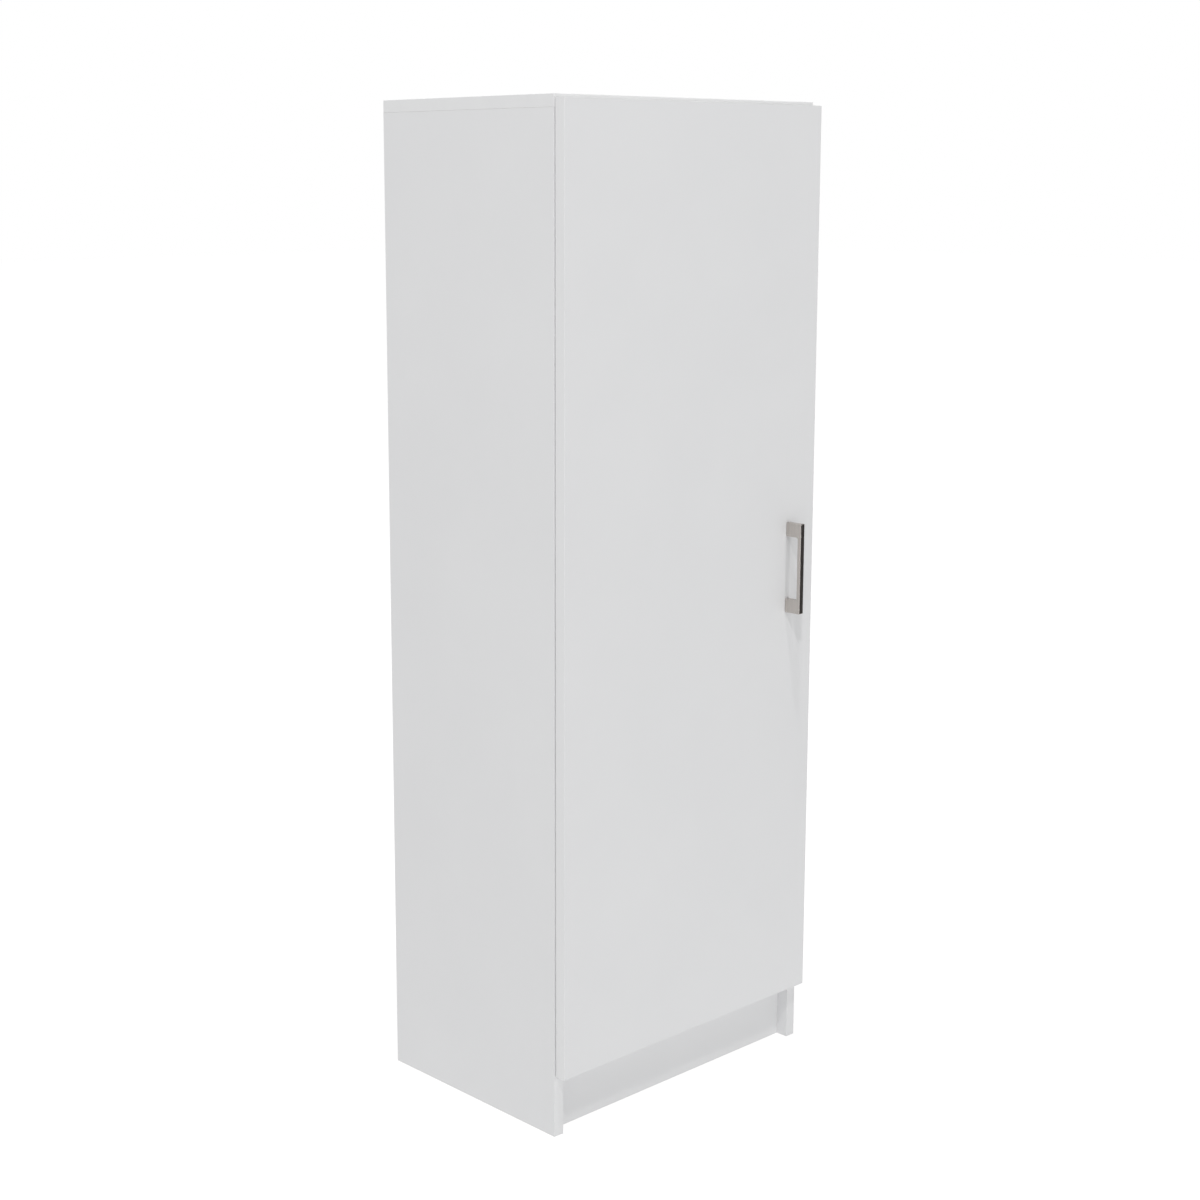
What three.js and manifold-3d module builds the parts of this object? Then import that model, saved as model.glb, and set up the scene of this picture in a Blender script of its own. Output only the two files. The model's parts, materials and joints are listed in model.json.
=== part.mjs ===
// Broom cupboard: a tall, white, one-door cupboard of melamine-faced board.
// The door hangs on three concealed cup hinges. Inside are a full-height bay and a bay of shelves.
// Millimetres, +Z up, +X to the right, front towards -Y. The origin is on the floor, under the middle.
import * as THREE from "three";
import { mergeVertices } from "three/addons/utils/BufferGeometryUtils.js";
import Module from "manifold-3d";

const wasm = await Module();
wasm.setup();

// Carcase
const cabinetHeight = 1600;
const cabinetWidth = 576;
const carcaseDepth = 390;
const boardThickness = 19;
const plinthHeight = 100;
const plinthSetback = 22;
const cutOverrun = 1;
const weldDistance = 1e-4;

// Door and its handle
const doorThickness = 19;
const doorGap = 1;
const doorSideReveal = 2;
const doorTopReveal = 6;
const handleLength = 151;
const handleProjection = 30.5;
const handleWidth = 11;
const handleLegHeight = 23;
const handleBarDepth = 7.3;
const handleFromDoorEdge = 63;
const handleBelowMiddle = 1.3;
const handleEdgeRound = 0.8;
const handleInnerFillet = 3;
const handleOuterRound = 1.6;
const handleRoundSteps = 2;
const handleScrewRadius = 2;
const handleScrewHeadRadius = 4.2;
const handleScrewHeadHeight = 2.4;
const handleScrewReach = 10;
const handleScrewRoundShare = 1 / 3;
const bumperRadius = 4;
const bumperThickness = 0.7;
const bumperFromEnd = 60;
const bumperRoundShare = 1 / 3;

// Clearances
const seatGap = 0.3;
const fitGap = 0.3;

// Back: two sheets of hardboard in grooves, joined by a strip
const backThickness = 3;
const backInset = 8;
const grooveDepth = 6;
const stripWall = 1;
const stripFlange = 12;
const stripEndGap = 2;
const stripHeightShare = 0.5;

// Inside
const broomBayWidth = 240;
const dividerSetback = 12;
const shelfThickness = 19;
const shelfSetback = 20;
const shelfCount = 2;
const shelfEndGap = 2;
const backClearance = 2;
const pinPitch = 32;
const pinHolesPerShelf = 5;
const pinRadius = 2.5;
const pinDepth = 9;
const pinCollarRadius = 3.6;
const pinCollarThickness = 1.2;
const pinReach = 8;
const pinFromEdge = 37;

// Cam joints and dowels
const camRadius = 7.5;
const camHeight = 12.3;
const camFromJoint = 24;
const camFromEdge = 55;
const camSlotWidth = 1.6;
const camSlotDepth = 2;
const camSlotReachShare = 0.5;
const boltThreadRadius = 2.5;
const boltThreadLength = 11;
const boltCollarRadius = 3.3;
const boltCollarLength = 2.5;
const boltShankRadius = 2;
const boltHeadRadius = 3.3;
const boltHeadLength = 3.4;
const boltHoleRadius = 3.7;
const dowelRadius = 4;
const dowelLength = 30;
const dowelFromEdge = 60;
const dowelTipShare = 0.25;
const dowelInFaceShare = 0.5;

// Concealed hinge. Places across are from the side board's inner face, places back from its front edge.
const hingeCount = 3;
const hingeFromDoorEnd = 100;
const cupRadius = 17.5;
const cupDepth = 13.5;
const cupWall = 0.8;
const cupFromDoorEdge = 3;
const cupFlangeThickness = 1;
const cupFlangeRing = 1;
const cupEarHeight = 54;
const cupEarWidth = 14;
const cupEarFromCentre = 9;
const cupEarRound = 5;
const cupScrewSpacing = 45;
const cupScrewFromCentre = 9.5;
const cupScrewHoleRadius = 1.9;
const outerPivotAcross = 27;
const outerPivotBack = 15;
const innerPivotAcross = 9.75;
const innerPivotAhead = 8;
const outerCupPivotIn = 7.45;
const outerCupPivotDeep = 2.8;
const innerCupPivotIn = 9.92;
const innerCupPivotDeep = 7.68;
const innerEyeIn = 9.1;
const innerEyeDeep = 8.3;
const innerEyeHoleRadius = 2.55;
const innerEyeRadius = 3.7;
const armPinRadius = 1.5;
const cupPinRadius = 1.1;
const pinPlay = 0.3;
const cupPinPlay = 0.25;
const linkGap = 0.3;
const innerLinkHalfWidth = 3.1;
const innerLinkHalf = 1.15;
const innerLinkBendAcross = 3;
const innerLinkBendAhead = 11.7;
const innerLinkBackEyeRadius = 2.9;
const armWall = 1.2;
const outerLinkHalf = 2;
const outerLinkEyeRadius = 2.35;
const outerLinkBackEyeRadius = 3.4;
const outerLinkPlate = 1.2;
const outerLinkBendAcross = 2;
const outerLinkBendAhead = 2.3;
const outerLinkBendIn = 12.4;
const outerLinkBendDeep = 4.8;
const armBack = 63;
const armStep = 29;
const armHeight = 14;
const armFoot = 3.4;
const armNoseRadius = 3.2;
const armHeelRadius = 3.8;
const armHeelTurn = (2 * Math.PI) / 3;
const armCheekRun = 9.6;
const armWebFromNose = 7;
const plateWingThickness = 2.2;
const plateWingWidth = 13;
const plateWingHeight = 50;
const plateWingRound = 5;
const plateFromEdge = 37;
const plateRailFront = 23;
const plateScrewSpacing = 32;
const plateScrewHoleRadius = 2.6;
const plateScrewDepth = 11;

// Roundness of turned pieces
const fineSides = 28;
const drumSides = 18;
const smallSides = 9;
const arcSteps = 3;
const holeSides = 8;

// Places worked out from the sizes above, in a frame whose front is the carcase's front edge
const leftFace = -cabinetWidth / 2;
const rightFace = cabinetWidth / 2;
const leftInner = leftFace + boardThickness;
const rightInner = rightFace - boardThickness;
const sideTop = cabinetHeight - boardThickness;
const floorTop = plinthHeight + boardThickness;
const backFront = carcaseDepth - backInset - backThickness;
const doorBack = -doorGap;
const doorFront = doorBack - doorThickness;
const doorLeft = leftFace + doorSideReveal;
const doorRight = rightFace - doorSideReveal;
const doorTop = cabinetHeight - doorTopReveal;
const doorBottom = plinthHeight;
const overallDepth = carcaseDepth + doorGap + doorThickness + seatGap + handleProjection;
const carcaseFront = handleProjection + seatGap + doorThickness + doorGap - overallDepth / 2;
const dividerLeft = leftInner + broomBayWidth;
const dividerRight = dividerLeft + boardThickness;
const innerDepth = backFront - backClearance;
const camPlaces = [camFromEdge, backFront - camFromEdge];
const dowelPlaces = [dowelFromEdge, innerDepth - dowelFromEdge];
const camAxisDeep = boardThickness / 2;
const handleX = doorRight - handleFromDoorEdge;
const handleZ = (doorTop + doorBottom) / 2 - handleBelowMiddle;
const handleScrewOffset = (handleLength - handleLegHeight) / 2;

// Materials: colours, roughness and metalness as on the real piece
const finishes = {
  melamine: { color: 0xe9ebee, roughness: 0.42, metalness: 0 },
  hardboard: { color: 0xdedcd6, roughness: 0.7, metalness: 0 },
  nickel: { color: 0xa8a39a, roughness: 0.3, metalness: 1 },
  steel: { color: 0xb9bcc0, roughness: 0.28, metalness: 1 },
  zinc: { color: 0x9a9da1, roughness: 0.45, metalness: 1 },
  beech: { color: 0xcaa678, roughness: 0.65, metalness: 0 },
  plastic: { color: 0xe4e4e2, roughness: 0.5, metalness: 0 },
  rubber: { color: 0xd8dadb, roughness: 0.35, metalness: 0 },
};

// Solids
function toSolid(geometry) {
  const bare = geometry.clone();
  bare.deleteAttribute("normal");
  bare.deleteAttribute("uv");
  const merged = mergeVertices(bare, weldDistance);
  return new wasm.Manifold(
    new wasm.Mesh({
      numProp: 3,
      vertProperties: merged.attributes.position.array,
      triVerts: new Uint32Array(merged.index.array),
    }),
  );
}

function toGeometry(solid) {
  const mesh = solid.getMesh();
  const geometry = new THREE.BufferGeometry();
  geometry.setAttribute("position", new THREE.BufferAttribute(mesh.vertProperties, 3));
  geometry.setIndex(new THREE.BufferAttribute(mesh.triVerts, 1));
  return geometry;
}

function cut(base, cutters) {
  let solid = toSolid(base);
  for (const cutter of cutters) solid = solid.subtract(toSolid(cutter));
  return toGeometry(solid);
}

function join(pieces) {
  let solid = toSolid(pieces[0]);
  for (const piece of pieces.slice(1)) solid = solid.add(toSolid(piece));
  return toGeometry(solid);
}

// A box between two bounds on each axis, whose corners are exactly on those bounds
function slab([x0, x1], [y0, y1], [z0, z1]) {
  const geometry = new THREE.BoxGeometry(1, 1, 1);
  const corners = geometry.attributes.position;
  for (let i = 0; i < corners.count; i++) {
    const x = corners.getX(i) < 0 ? x0 : x1;
    const y = corners.getY(i) < 0 ? y0 : y1;
    const z = corners.getZ(i) < 0 ? z0 : z1;
    corners.setXYZ(i, x, y, z);
  }
  return geometry;
}

// A round bar from one point along an axis; a negative length runs the other way
function bar(axis, radius, length, [x, y, z], sides = smallSides) {
  const geometry = new THREE.CylinderGeometry(radius, radius, Math.abs(length), sides);
  if (axis === "x") geometry.rotateZ(-Math.PI / 2);
  if (axis === "z") geometry.rotateX(Math.PI / 2);
  const middle = { x: 0, y: 0, z: 0 };
  middle[axis] = length / 2;
  return geometry.translate(x + middle.x, y + middle.y, z + middle.z);
}

// A turned piece about Z from a closed list of [radius, height]
function turned(profile, sides = smallSides) {
  const points = profile.map(([radius, height]) => new THREE.Vector2(radius, height));
  return new THREE.LatheGeometry(points, sides).rotateX(Math.PI / 2);
}

// An outline in X and Y raised from z0 to z1
function raised(shape, z0, z1, curveSegments = arcSteps) {
  const settings = { depth: z1 - z0, bevelEnabled: false, curveSegments };
  return new THREE.ExtrudeGeometry(shape, settings).translate(0, 0, z0);
}

// The outline of a round-ended bar between two points, with a radius at each
function linkShape([x0, y0], [x1, y1], r0, r1) {
  const along = Math.atan2(y1 - y0, x1 - x0);
  const shape = new THREE.Shape();
  shape.absarc(x0, y0, r0, along + Math.PI / 2, along + (3 * Math.PI) / 2, false);
  shape.absarc(x1, y1, r1, along - Math.PI / 2, along + Math.PI / 2, false);
  shape.closePath();
  return shape;
}

function circleShape([x, y], radius) {
  const shape = new THREE.Shape();
  shape.absarc(x, y, radius, 0, 2 * Math.PI, false);
  return shape;
}

function roundedRectangle(width, height, radius) {
  const x = width / 2;
  const y = height / 2;
  const shape = new THREE.Shape();
  shape.absarc(x - radius, y - radius, radius, 0, Math.PI / 2, false);
  shape.absarc(radius - x, y - radius, radius, Math.PI / 2, Math.PI, false);
  shape.absarc(radius - x, radius - y, radius, Math.PI, 1.5 * Math.PI, false);
  shape.absarc(x - radius, radius - y, radius, 1.5 * Math.PI, 2 * Math.PI, false);
  shape.closePath();
  return shape;
}

// A strap that follows points, with the radius given at each
function strap(points, radii, z0, z1) {
  const runs = [];
  for (let i = 1; i < points.length; i++) {
    runs.push(raised(linkShape(points[i - 1], points[i], radii[i - 1], radii[i]), z0, z1));
  }
  return runs;
}

function named(name, geometry, finish) {
  geometry.computeVertexNormals();
  const material = new THREE.MeshStandardMaterial({ ...finishes[finish], flatShading: true });
  const mesh = new THREE.Mesh(geometry, material);
  mesh.name = name;
  return mesh;
}

// Cuts that boards share
const backCutFront = backFront - fitGap;
const backCutBack = carcaseDepth - backInset + fitGap;
const threadHoleRadius = boltThreadRadius + fitGap;
const threadHoleDepth = boltThreadLength + fitGap;
const camBoreRadius = camRadius + fitGap;
const camBoreDepth = seatGap + camHeight + fitGap;
const boltHoleDepth = camFromJoint + boltHeadLength;

// A dowel goes less deep into the face of a board than into the end of the divider
const dowelInFace = boardThickness * dowelInFaceShare;
const dowelInEnd = dowelLength - dowelInFace;
const dowelHoleRadius = dowelRadius + fitGap;
const dowelFaceHoleDepth = dowelInFace + fitGap;
const dowelEndHoleDepth = dowelInEnd + fitGap;

// Shelves are spread evenly up the bay, each on the middle hole of its group
const bayHeight = sideTop - floorTop;
const shelfSpacing = bayHeight / (shelfCount + 1);
const shelfLevels = Array.from({ length: shelfCount }, (_, i) => floorTop + shelfSpacing * (i + 1));
const pinDrop = pinRadius + seatGap;
const pinRows = [shelfSetback + pinFromEdge, innerDepth - pinFromEdge];

function pinHoles(face, direction) {
  const holes = [];
  const depth = direction * (pinDepth + fitGap);
  const start = face - direction * cutOverrun;
  const length = depth + direction * cutOverrun;
  for (const level of shelfLevels) {
    for (let i = 0; i < pinHolesPerShelf; i++) {
      const z = level - pinDrop + (i - (pinHolesPerShelf - 1) / 2) * pinPitch;
      for (const y of pinRows) holes.push(bar("x", pinRadius + fitGap, length, [start, y, z], holeSides));
    }
  }
  return holes;
}

function sidePanel(outer, inner) {
  const inward = Math.sign(inner - outer);
  const panel = slab(
    [Math.min(outer, inner), Math.max(outer, inner)],
    [0, carcaseDepth],
    [0, sideTop],
  );
  const grooveBounds = [inner - inward * grooveDepth, inner + inward * cutOverrun];
  const groove = slab(
    [Math.min(...grooveBounds), Math.max(...grooveBounds)],
    [backCutFront, backCutBack],
    [-cutOverrun, sideTop + cutOverrun],
  );
  const cutters = [groove];
  for (const y of camPlaces) {
    const middle = inner - inward * camAxisDeep;
    const boreStart = inner + inward * cutOverrun;
    const boreLength = -inward * (camBoreDepth + cutOverrun);
    cutters.push(
      bar("z", boltHoleRadius, -boltHoleDepth - cutOverrun, [middle, y, sideTop + cutOverrun]),
      bar("x", camBoreRadius, boreLength, [boreStart, y, sideTop - camFromJoint], drumSides),
      bar(
        "x",
        threadHoleRadius,
        -inward * (threadHoleDepth + cutOverrun),
        [boreStart, y, plinthHeight + camAxisDeep],
      ),
    );
  }
  if (inward < 0) cutters.push(...pinHoles(inner, 1));
  if (inward > 0) cutters.push(...plateScrewHoles());
  return cut(panel, cutters);
}

function plateScrewHoles() {
  const holes = [];
  for (const level of hingeLevels) {
    for (const up of [-plateScrewSpacing / 2, plateScrewSpacing / 2]) {
      const start = [leftInner + cutOverrun, plateFromEdge, level + up];
      holes.push(bar("x", plateScrewHoleRadius, -plateScrewDepth - cutOverrun, start, holeSides));
    }
  }
  return holes;
}

function topPanel() {
  const panel = slab([leftFace, rightFace], [0, carcaseDepth], [sideTop, cabinetHeight]);
  const groove = slab(
    [leftInner - grooveDepth, rightInner + grooveDepth],
    [backCutFront, backCutBack],
    [sideTop - cutOverrun, sideTop + grooveDepth],
  );
  const cutters = [groove];
  const start = sideTop - cutOverrun;
  for (const x of [leftInner - camAxisDeep, rightInner + camAxisDeep]) {
    for (const y of camPlaces) {
      cutters.push(bar("z", threadHoleRadius, threadHoleDepth + cutOverrun, [x, y, start]));
    }
  }
  for (const y of dowelPlaces) {
    const x = dividerLeft + boardThickness / 2;
    cutters.push(bar("z", dowelHoleRadius, dowelFaceHoleDepth + cutOverrun, [x, y, start]));
  }
  return cut(panel, cutters);
}

function bottomPanel() {
  const panel = slab([leftInner, rightInner], [0, carcaseDepth], [plinthHeight, floorTop]);
  const groove = slab(
    [leftInner - cutOverrun, rightInner + cutOverrun],
    [backCutFront, backCutBack],
    [floorTop - grooveDepth, floorTop + cutOverrun],
  );
  const cutters = [groove];
  const axisZ = plinthHeight + camAxisDeep;
  for (const [face, inward] of [
    [leftInner, 1],
    [rightInner, -1],
  ]) {
    for (const y of camPlaces) {
      const start = [face - inward * cutOverrun, y, axisZ];
      const boreStart = [face + inward * camFromJoint, y, plinthHeight - cutOverrun];
      cutters.push(
        bar("x", boltHoleRadius, inward * (boltHoleDepth + cutOverrun), start),
        bar("z", camBoreRadius, camBoreDepth + cutOverrun, boreStart, drumSides),
      );
    }
  }
  for (const y of dowelPlaces) {
    const start = [dividerLeft + boardThickness / 2, y, floorTop + cutOverrun];
    cutters.push(bar("z", dowelHoleRadius, -dowelFaceHoleDepth - cutOverrun, start));
  }
  return cut(panel, cutters);
}

function plinthBoard() {
  const back = plinthSetback + boardThickness;
  return slab([leftInner, rightInner], [plinthSetback, back], [0, plinthHeight]);
}

function dividerPanel() {
  const panel = slab([dividerLeft, dividerRight], [dividerSetback, innerDepth], [floorTop, sideTop]);
  const cutters = pinHoles(dividerRight, -1);
  for (const y of dowelPlaces) {
    const x = dividerLeft + boardThickness / 2;
    const depth = dowelEndHoleDepth + cutOverrun;
    cutters.push(
      bar("z", dowelHoleRadius, depth, [x, y, floorTop - cutOverrun]),
      bar("z", dowelHoleRadius, -depth, [x, y, sideTop + cutOverrun]),
    );
  }
  return cut(panel, cutters);
}

function shelf(level) {
  const across = [dividerRight + shelfEndGap, rightInner - shelfEndGap];
  return slab(across, [shelfSetback, innerDepth], [level, level + shelfThickness]);
}

// The hardboard's edges stop short of the bottom of each groove
const backLeft = leftInner - grooveDepth + 2 * fitGap;
const backRight = rightInner + grooveDepth - 2 * fitGap;
const stripMiddle = floorTop + bayHeight * stripHeightShare;
const sheetEdge = stripWall / 2 + fitGap;

function backSheet(z0, z1) {
  return slab([backLeft, backRight], [backFront, backFront + backThickness], [z0, z1]);
}

function backJointStrip() {
  const across = [leftInner + stripEndGap, rightInner - stripEndGap];
  const front = backFront - fitGap;
  const back = backFront + backThickness + fitGap;
  const flangeHeight = [stripMiddle - stripFlange, stripMiddle + stripFlange];
  const webHeight = [stripMiddle - stripWall / 2, stripMiddle + stripWall / 2];
  return join([
    slab(across, [front - stripWall, front], flangeHeight),
    slab(across, [front - stripWall / 2, back + stripWall / 2], webHeight),
    slab(across, [back, back + stripWall], flangeHeight),
  ]);
}

// A shelf pin lies along X: its shank in the board, its collar on the face, its peg under the shelf
function shelfPin() {
  return turned([
    [0, -pinDepth],
    [pinRadius, -pinDepth],
    [pinRadius, seatGap],
    [pinCollarRadius, seatGap],
    [pinCollarRadius, seatGap + pinCollarThickness],
    [pinRadius, seatGap + pinCollarThickness],
    [pinRadius, seatGap + pinReach],
    [0, seatGap + pinReach],
  ]);
}

// A cam fitting's drum, across a bolt that stands on Z: its driving face looks along +X
function camDrum() {
  const face = camAxisDeep - seatGap;
  const drum = bar("x", camRadius, -camHeight, [face, 0, camFromJoint], drumSides);
  const channelLength = camRadius + boltHeadLength + cutOverrun;
  const channelStart = [0, 0, camFromJoint - camRadius - cutOverrun];
  const slotHalf = camSlotWidth / 2;
  const slotReach = camRadius * camSlotReachShare;
  const slotDepth = [face - camSlotDepth, face + cutOverrun];
  const wide = [camFromJoint - slotReach, camFromJoint + slotReach];
  const narrow = [camFromJoint - slotHalf, camFromJoint + slotHalf];
  return cut(drum, [
    bar("z", boltHoleRadius, channelLength, channelStart),
    slab(slotDepth, [-slotHalf, slotHalf], wide),
    slab(slotDepth, [-slotReach, slotReach], narrow),
  ]);
}

// A cam fitting's bolt along Z: thread below 0, then collar, neck and head
function camBolt() {
  const neck = camFromJoint - boltHeadLength / 2;
  return turned([
    [0, -boltThreadLength],
    [boltThreadRadius, -boltThreadLength],
    [boltThreadRadius, seatGap],
    [boltCollarRadius, seatGap],
    [boltCollarRadius, seatGap + boltCollarLength],
    [boltShankRadius, seatGap + boltCollarLength],
    [boltShankRadius, neck],
    [boltHeadRadius, neck + (boltHeadRadius - boltShankRadius)],
    [boltHeadRadius, neck + boltHeadLength - (boltHeadRadius - boltShankRadius)],
    [boltShankRadius, neck + boltHeadLength],
    [0, neck + boltHeadLength],
  ]);
}

function dowel() {
  const tip = dowelRadius * dowelTipShare;
  return turned([
    [0, 0],
    [dowelRadius - tip, 0],
    [dowelRadius, tip],
    [dowelRadius, dowelLength - tip],
    [dowelRadius - tip, dowelLength],
    [0, dowelLength],
  ]);
}

// Hinge places in the closed pose, seen from above, measured from the carcase's front edge
const hingeLevels = Array.from({ length: hingeCount }, (_, i) => {
  const run = doorTop - doorBottom - 2 * hingeFromDoorEnd;
  return doorBottom + hingeFromDoorEnd + (run * i) / (hingeCount - 1);
});
const outerPivot = [leftInner + outerPivotAcross, outerPivotBack];
const innerPivot = [leftInner + innerPivotAcross, -innerPivotAhead];
const outerCupPivot = [doorLeft + outerCupPivotIn, doorBack - outerCupPivotDeep];
const innerCupPivot = [doorLeft + innerCupPivotIn, doorBack - innerCupPivotDeep];
const innerEye = [doorLeft + innerEyeIn, doorBack - innerEyeDeep];
const cupX = doorLeft + cupFromDoorEdge + cupRadius;
const armInside = innerLinkHalfWidth + linkGap;
const armOutside = armInside + armWall;
const linkInside = armOutside + linkGap;
const linkOutside = linkInside + outerLinkPlate;

// The flange that lies in the door's back: a ring round the bowl and a plate with two screw ears
function cupFlange(grow, thickness) {
  const ring = bar("y", cupRadius + cupFlangeRing + grow, -thickness, [cupX, doorBack, 0], fineSides);
  const ears = raised(
    roundedRectangle(cupEarWidth + 2 * grow, cupEarHeight + 2 * grow, cupEarRound + grow),
    0,
    thickness,
  );
  ears.rotateX(Math.PI / 2);
  ears.translate(cupX + cupEarFromCentre, doorBack, 0);
  return [ring, ears];
}

function doorPanel() {
  const panel = slab([doorLeft, doorRight], [doorFront, doorBack], [doorBottom, doorTop]);
  const cutters = [];
  for (const level of hingeLevels) {
    const start = [cupX, doorBack + cutOverrun, 0];
    const bore = bar("y", cupRadius + fitGap, -cupDepth - fitGap - cutOverrun, start, fineSides);
    const recess = join(cupFlange(fitGap, cupFlangeThickness + fitGap + cutOverrun));
    recess.translate(0, cutOverrun, level);
    cutters.push(bore.translate(0, 0, level), recess);
  }
  for (const z of [handleZ - handleScrewOffset, handleZ + handleScrewOffset]) {
    const start = [handleX, doorBack + cutOverrun, z];
    cutters.push(
      bar("y", handleScrewRadius + fitGap, -doorThickness - 2 * cutOverrun, start),
    );
  }
  return cut(panel, cutters);
}

// The bowl with its flange, the pin of the short link and the two stub pins of the long link
function hingeCup() {
  const bowl = bar("y", cupRadius, -cupDepth, [cupX, doorBack, 0], fineSides);
  const hollow = bar(
    "y",
    cupRadius - cupWall,
    cupWall - cupDepth - cutOverrun,
    [cupX, doorBack + cutOverrun, 0],
    fineSides,
  );
  const screwHoles = [-cupScrewSpacing / 2, cupScrewSpacing / 2].map((z) => {
    const start = [cupX + cupScrewFromCentre, doorBack + cutOverrun, z];
    return bar("y", cupScrewHoleRadius, -cupFlangeThickness - 2 * cutOverrun, start);
  });
  const shell = cut(join([bowl, ...cupFlange(0, cupFlangeThickness)]), [hollow, ...screwHoles]);
  const reach = ([x]) => {
    const inside = cupRadius - cupWall;
    return Math.sqrt(inside * inside - (cupX - x) * (cupX - x)) + cupWall / 2;
  };
  const pinReachZ = reach(innerCupPivot);
  const stubReach = reach(outerCupPivot);
  const stubStart = linkInside - linkGap / 2;
  return join([
    shell,
    bar("z", cupPinRadius, 2 * pinReachZ, [...innerCupPivot, -pinReachZ]),
    bar("z", cupPinRadius, stubReach - stubStart, [...outerCupPivot, stubStart]),
    bar("z", cupPinRadius, stubStart - stubReach, [...outerCupPivot, -stubStart]),
  ]);
}

// The short link turns on the arm's nose pin and holds the cup's deep pin in a wide eye
function innerLink() {
  const bend = [leftInner + innerLinkBendAcross, -innerLinkBendAhead];
  const half = innerLinkHalfWidth;
  const body = join([
    ...strap([innerPivot, bend, innerEye], [innerLinkHalf, innerLinkHalf, innerLinkHalf], -half, half),
    raised(circleShape(innerPivot, innerLinkBackEyeRadius), -half, half, 2 * arcSteps),
    raised(circleShape(innerEye, innerEyeRadius), -half, half, 2 * arcSteps),
  ]);
  const through = 2 * half + 2 * cutOverrun;
  return cut(body, [
    bar("z", armPinRadius + pinPlay, through, [...innerPivot, -half - cutOverrun]),
    bar("z", innerEyeHoleRadius, through, [...innerEye, -half - cutOverrun]),
  ]);
}

// The long link is two plates riveted to the pin that turns in the arm
function outerLink() {
  const bendNear = [leftInner + outerLinkBendAcross, -outerLinkBendAhead];
  const bendFar = [doorLeft + outerLinkBendIn, doorBack - outerLinkBendDeep];
  const points = [outerPivot, bendNear, bendFar, outerCupPivot];
  const radii = [outerLinkHalf, outerLinkHalf, outerLinkHalf, outerLinkHalf];
  const plates = [
    [linkInside, linkOutside],
    [-linkOutside, -linkInside],
  ].flatMap(([z0, z1]) => [
    ...strap(points, radii, z0, z1),
    raised(circleShape(outerPivot, outerLinkBackEyeRadius), z0, z1, 2 * arcSteps),
    raised(circleShape(outerCupPivot, outerLinkEyeRadius), z0, z1, 2 * arcSteps),
  ]);
  const rivet = bar("z", armPinRadius, 2 * linkOutside, [...outerPivot, -linkOutside]);
  const hole = bar(
    "z",
    cupPinRadius + cupPinPlay,
    2 * linkOutside + 2 * cutOverrun,
    [...outerCupPivot, -linkOutside - cutOverrun],
  );
  return cut(join([...plates, rivet]), [hole]);
}

// The arm: a channel, open towards the side board, whose cheeks hold both pivots
function hingeArm() {
  const [noseX, noseY] = innerPivot;
  const [heelX, heelY] = outerPivot;
  const span = Math.hypot(heelX - noseX, heelY - noseY);
  const along = [(heelX - noseX) / span, (heelY - noseY) / span];
  const out = [along[1], -along[0]];
  const noseAngle = Math.atan2(out[1], out[0]);
  const foot = leftInner + armFoot;
  const crest = leftInner + armHeight;
  const outline = new THREE.Shape();
  outline.moveTo(foot, armBack);
  outline.lineTo(foot, noseY + armCheekRun);
  outline.absarc(noseX, noseY, armNoseRadius, Math.PI, noseAngle + 2 * Math.PI, false);
  outline.absarc(heelX, heelY, armHeelRadius, noseAngle, noseAngle + armHeelTurn, false);
  outline.lineTo(crest, armStep);
  outline.lineTo(crest, armBack);
  outline.closePath();
  const webStart = [noseX + along[0] * armWebFromNose, noseY + along[1] * armWebFromNose];
  const webIn = armNoseRadius - armWall;
  const heelIn = armHeelRadius - armWall;
  const clear = armNoseRadius + cutOverrun;
  const hollow = new THREE.Shape();
  hollow.moveTo(foot - cutOverrun, armBack + cutOverrun);
  hollow.lineTo(foot - cutOverrun, noseY - clear);
  hollow.lineTo(noseX + out[0] * clear, noseY - clear);
  hollow.lineTo(webStart[0] + out[0] * clear, webStart[1] + out[1] * clear);
  hollow.lineTo(webStart[0] + out[0] * webIn, webStart[1] + out[1] * webIn);
  hollow.absarc(heelX, heelY, heelIn, noseAngle, noseAngle + armHeelTurn, false);
  hollow.lineTo(crest - armWall, armStep);
  hollow.lineTo(crest - armWall, armBack + cutOverrun);
  hollow.closePath();
  const body = cut(raised(outline, -armOutside, armOutside), [
    raised(hollow, -armInside, armInside),
    bar(
      "z",
      armPinRadius + pinPlay,
      2 * armOutside + 2 * cutOverrun,
      [...outerPivot, -armOutside - cutOverrun],
    ),
  ]);
  return join([body, bar("z", armPinRadius, 2 * armOutside, [...innerPivot, -armOutside])]);
}

// The mounting plate: two screwed wings and a rail that fills the arm's channel
function mountingPlate() {
  const base = leftInner + seatGap;
  const wings = raised(
    roundedRectangle(plateWingWidth, plateWingHeight, plateWingRound),
    0,
    plateWingThickness,
  );
  wings.rotateX(Math.PI / 2);
  wings.rotateZ(Math.PI / 2);
  wings.translate(base, plateFromEdge, 0);
  const railTop = leftInner + armHeight - armWall - linkGap;
  const rail = slab(
    [base, railTop],
    [plateRailFront, armBack - seatGap],
    [-innerLinkHalfWidth, innerLinkHalfWidth],
  );
  const holes = [-plateScrewSpacing / 2, plateScrewSpacing / 2].map((z) => {
    const start = [base - cutOverrun, plateFromEdge, z];
    return bar("x", plateScrewHoleRadius, plateWingThickness + 2 * cutOverrun, start, holeSides);
  });
  return cut(join([wings, rail]), holes);
}

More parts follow.
